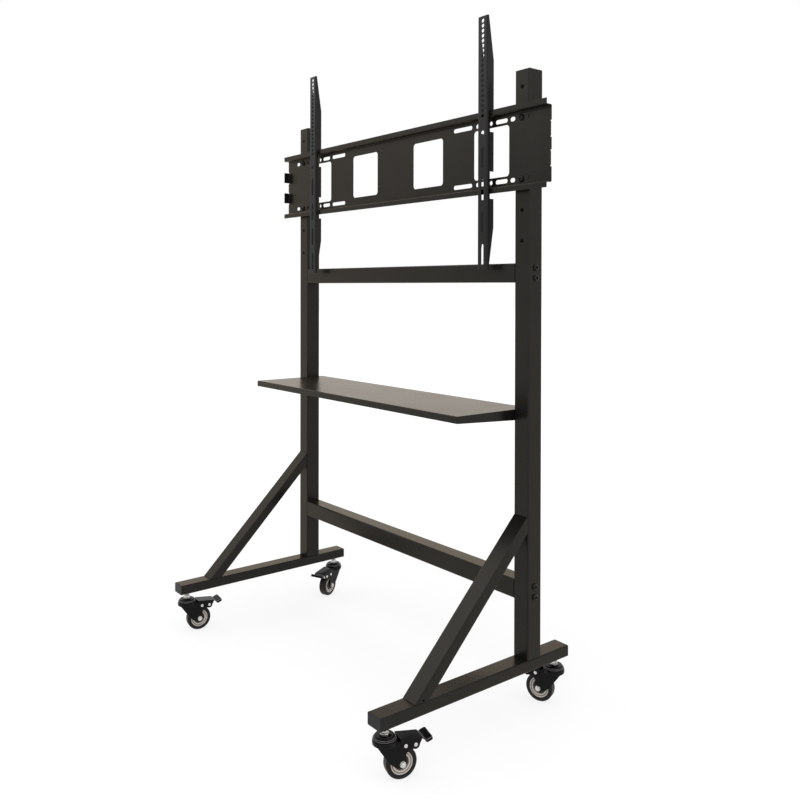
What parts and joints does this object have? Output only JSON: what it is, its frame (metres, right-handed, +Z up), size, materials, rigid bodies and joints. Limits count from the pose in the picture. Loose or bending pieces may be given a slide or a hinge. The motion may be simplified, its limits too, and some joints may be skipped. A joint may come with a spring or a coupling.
{
  "type": "mobile tv stand",
  "caption": "Black steel rolling floor stand for a large flat screen, with slotted wall plate, hook-on sliding arms, shelf, braced feet and braked swivel casters.",
  "frame": {"origin": "on the floor, midway between the posts and midway along the foot rails", "axes": "+Z up; +X from post_left to post_right; -Y is the front, where the screen hangs"},
  "size_m": [1.25, 0.628, 1.8261],
  "materials": {
    "black_coat": "satin black powder coat",
    "black_plastic": "satin moulded plastic",
    "black_bolt": "black oxide steel",
    "bright_zinc": "bright zinc plate",
    "dark_tread": "satin dark tread",
    "pale_core": "pale grey moulded wheel core"
  },
  "bodies": {
    "stand": {"post_left": "black_coat", "post_right": "black_coat", "foot_rail_left": "black_coat", "foot_rail_right": "black_coat", "brace_left": "black_coat", "brace_right": "black_coat", "upper_beam": "black_coat", "lower_beam": "black_coat", "shelf": "black_coat", "wall_plate": "black_coat", "post_cap_left": "black_plastic", "post_cap_right": "black_plastic", "rail_cap_front_left": "black_plastic", "rail_cap_front_right": "black_plastic", "rail_cap_rear_left": "black_plastic", "rail_cap_rear_right": "black_plastic", "upper_beam_bolt_top_left": "black_bolt", "upper_beam_bolt_top_right": "black_bolt", "upper_beam_bolt_bottom_left": "black_bolt", "upper_beam_bolt_bottom_right": "black_bolt", "lower_beam_bolt_top_left": "black_bolt", "lower_beam_bolt_top_right": "black_bolt", "lower_beam_bolt_bottom_left": "black_bolt", "lower_beam_bolt_bottom_right": "black_bolt", "brace_bolt_left": "black_bolt", "brace_bolt_right": "black_bolt", "wall_plate_bolt_top_left": "black_bolt", "wall_plate_bolt_top_right": "black_bolt", "wall_plate_bolt_bottom_left": "black_bolt", "wall_plate_bolt_bottom_right": "black_bolt", "stem_front_left": "bright_zinc", "stem_front_right": "bright_zinc", "stem_rear_left": "bright_zinc", "stem_rear_right": "bright_zinc"},
    "arm_left": {"arm_left": "black_coat"},
    "arm_right": {"arm_right": "black_coat"},
    "swivel_front_left": {"fork_front_left": "black_coat", "axle_front_left": "bright_zinc"},
    "wheel_front_left": {"tyre_front_left": "dark_tread", "wheel_core_front_left": "pale_core"},
    "pedal_front_left": {"brake_pedal_front_left": "black_coat", "brake_shoe_front_left": "bright_zinc"},
    "swivel_front_right": {"fork_front_right": "black_coat", "axle_front_right": "bright_zinc"},
    "wheel_front_right": {"tyre_front_right": "dark_tread", "wheel_core_front_right": "pale_core"},
    "pedal_front_right": {"brake_pedal_front_right": "black_coat", "brake_shoe_front_right": "bright_zinc"},
    "swivel_rear_left": {"fork_rear_left": "black_coat", "axle_rear_left": "bright_zinc"},
    "wheel_rear_left": {"tyre_rear_left": "dark_tread", "wheel_core_rear_left": "pale_core"},
    "pedal_rear_left": {"brake_pedal_rear_left": "black_coat", "brake_shoe_rear_left": "bright_zinc"},
    "swivel_rear_right": {"fork_rear_right": "black_coat", "axle_rear_right": "bright_zinc"},
    "wheel_rear_right": {"tyre_rear_right": "dark_tread", "wheel_core_rear_right": "pale_core"},
    "pedal_rear_right": {"brake_pedal_rear_right": "black_coat", "brake_shoe_rear_right": "bright_zinc"}
  },
  "joints": [
    {"name": "arm_left_slide", "type": "slide", "parent": "stand", "child": "arm_left", "axis": [1, 0, 0], "range_m": [-0.184, 0.394]},
    {"name": "arm_right_slide", "type": "slide", "parent": "stand", "child": "arm_right", "axis": [1, 0, 0], "range_m": [-0.386, 0.19]},
    {"name": "swivel_front_left_turn", "type": "hinge", "parent": "stand", "child": "swivel_front_left", "pos_m": [-0.525, -0.284, 0.1], "axis": [0, 0, 1], "continuous": true},
    {"name": "wheel_front_left_roll", "type": "hinge", "parent": "swivel_front_left", "child": "wheel_front_left", "pos_m": [-0.51978, -0.24687, 0.0375], "axis": [-0.9903, 0.1392, 0], "continuous": true},
    {"name": "pedal_front_left_rock", "type": "hinge", "parent": "swivel_front_left", "child": "pedal_front_left", "pos_m": [-0.51882, -0.24003, 0.0784], "axis": [-0.9903, 0.1392, 0], "range_deg": [0, 12]},
    {"name": "swivel_front_right_turn", "type": "hinge", "parent": "stand", "child": "swivel_front_right", "pos_m": [0.525, -0.284, 0.1], "axis": [0, 0, 1], "continuous": true},
    {"name": "wheel_front_right_roll", "type": "hinge", "parent": "swivel_front_right", "child": "wheel_front_right", "pos_m": [0.53596, -0.24814, 0.0375], "axis": [-0.9563, 0.2924, 0], "continuous": true},
    {"name": "pedal_front_right_rock", "type": "hinge", "parent": "swivel_front_right", "child": "pedal_front_right", "pos_m": [0.53798, -0.24154, 0.0784], "axis": [-0.9563, 0.2924, 0], "range_deg": [0, 12]},
    {"name": "swivel_rear_left_turn", "type": "hinge", "parent": "stand", "child": "swivel_rear_left", "pos_m": [-0.525, 0.284, 0.1], "axis": [0, 0, 1], "continuous": true},
    {"name": "wheel_rear_left_roll", "type": "hinge", "parent": "swivel_rear_left", "child": "wheel_rear_left", "pos_m": [-0.51095, 0.24923, 0.0375], "axis": [0.9272, 0.3746, 0], "continuous": true},
    {"name": "pedal_rear_left_rock", "type": "hinge", "parent": "swivel_rear_left", "child": "pedal_rear_left", "pos_m": [-0.50837, 0.24283, 0.0784], "axis": [0.9272, 0.3746, 0], "range_deg": [0, 12]},
    {"name": "swivel_rear_right_turn", "type": "hinge", "parent": "stand", "child": "swivel_rear_right", "pos_m": [0.525, 0.284, 0.1], "axis": [0, 0, 1], "continuous": true},
    {"name": "wheel_rear_right_roll", "type": "hinge", "parent": "swivel_rear_right", "child": "wheel_rear_right", "pos_m": [0.48976, 0.27117, 0.0375], "axis": [0.342, -0.9397, 0], "continuous": true},
    {"name": "pedal_rear_right_rock", "type": "hinge", "parent": "swivel_rear_right", "child": "pedal_rear_right", "pos_m": [0.48328, 0.26881, 0.0784], "axis": [0.342, -0.9397, 0], "range_deg": [0, 12]}
  ]
}
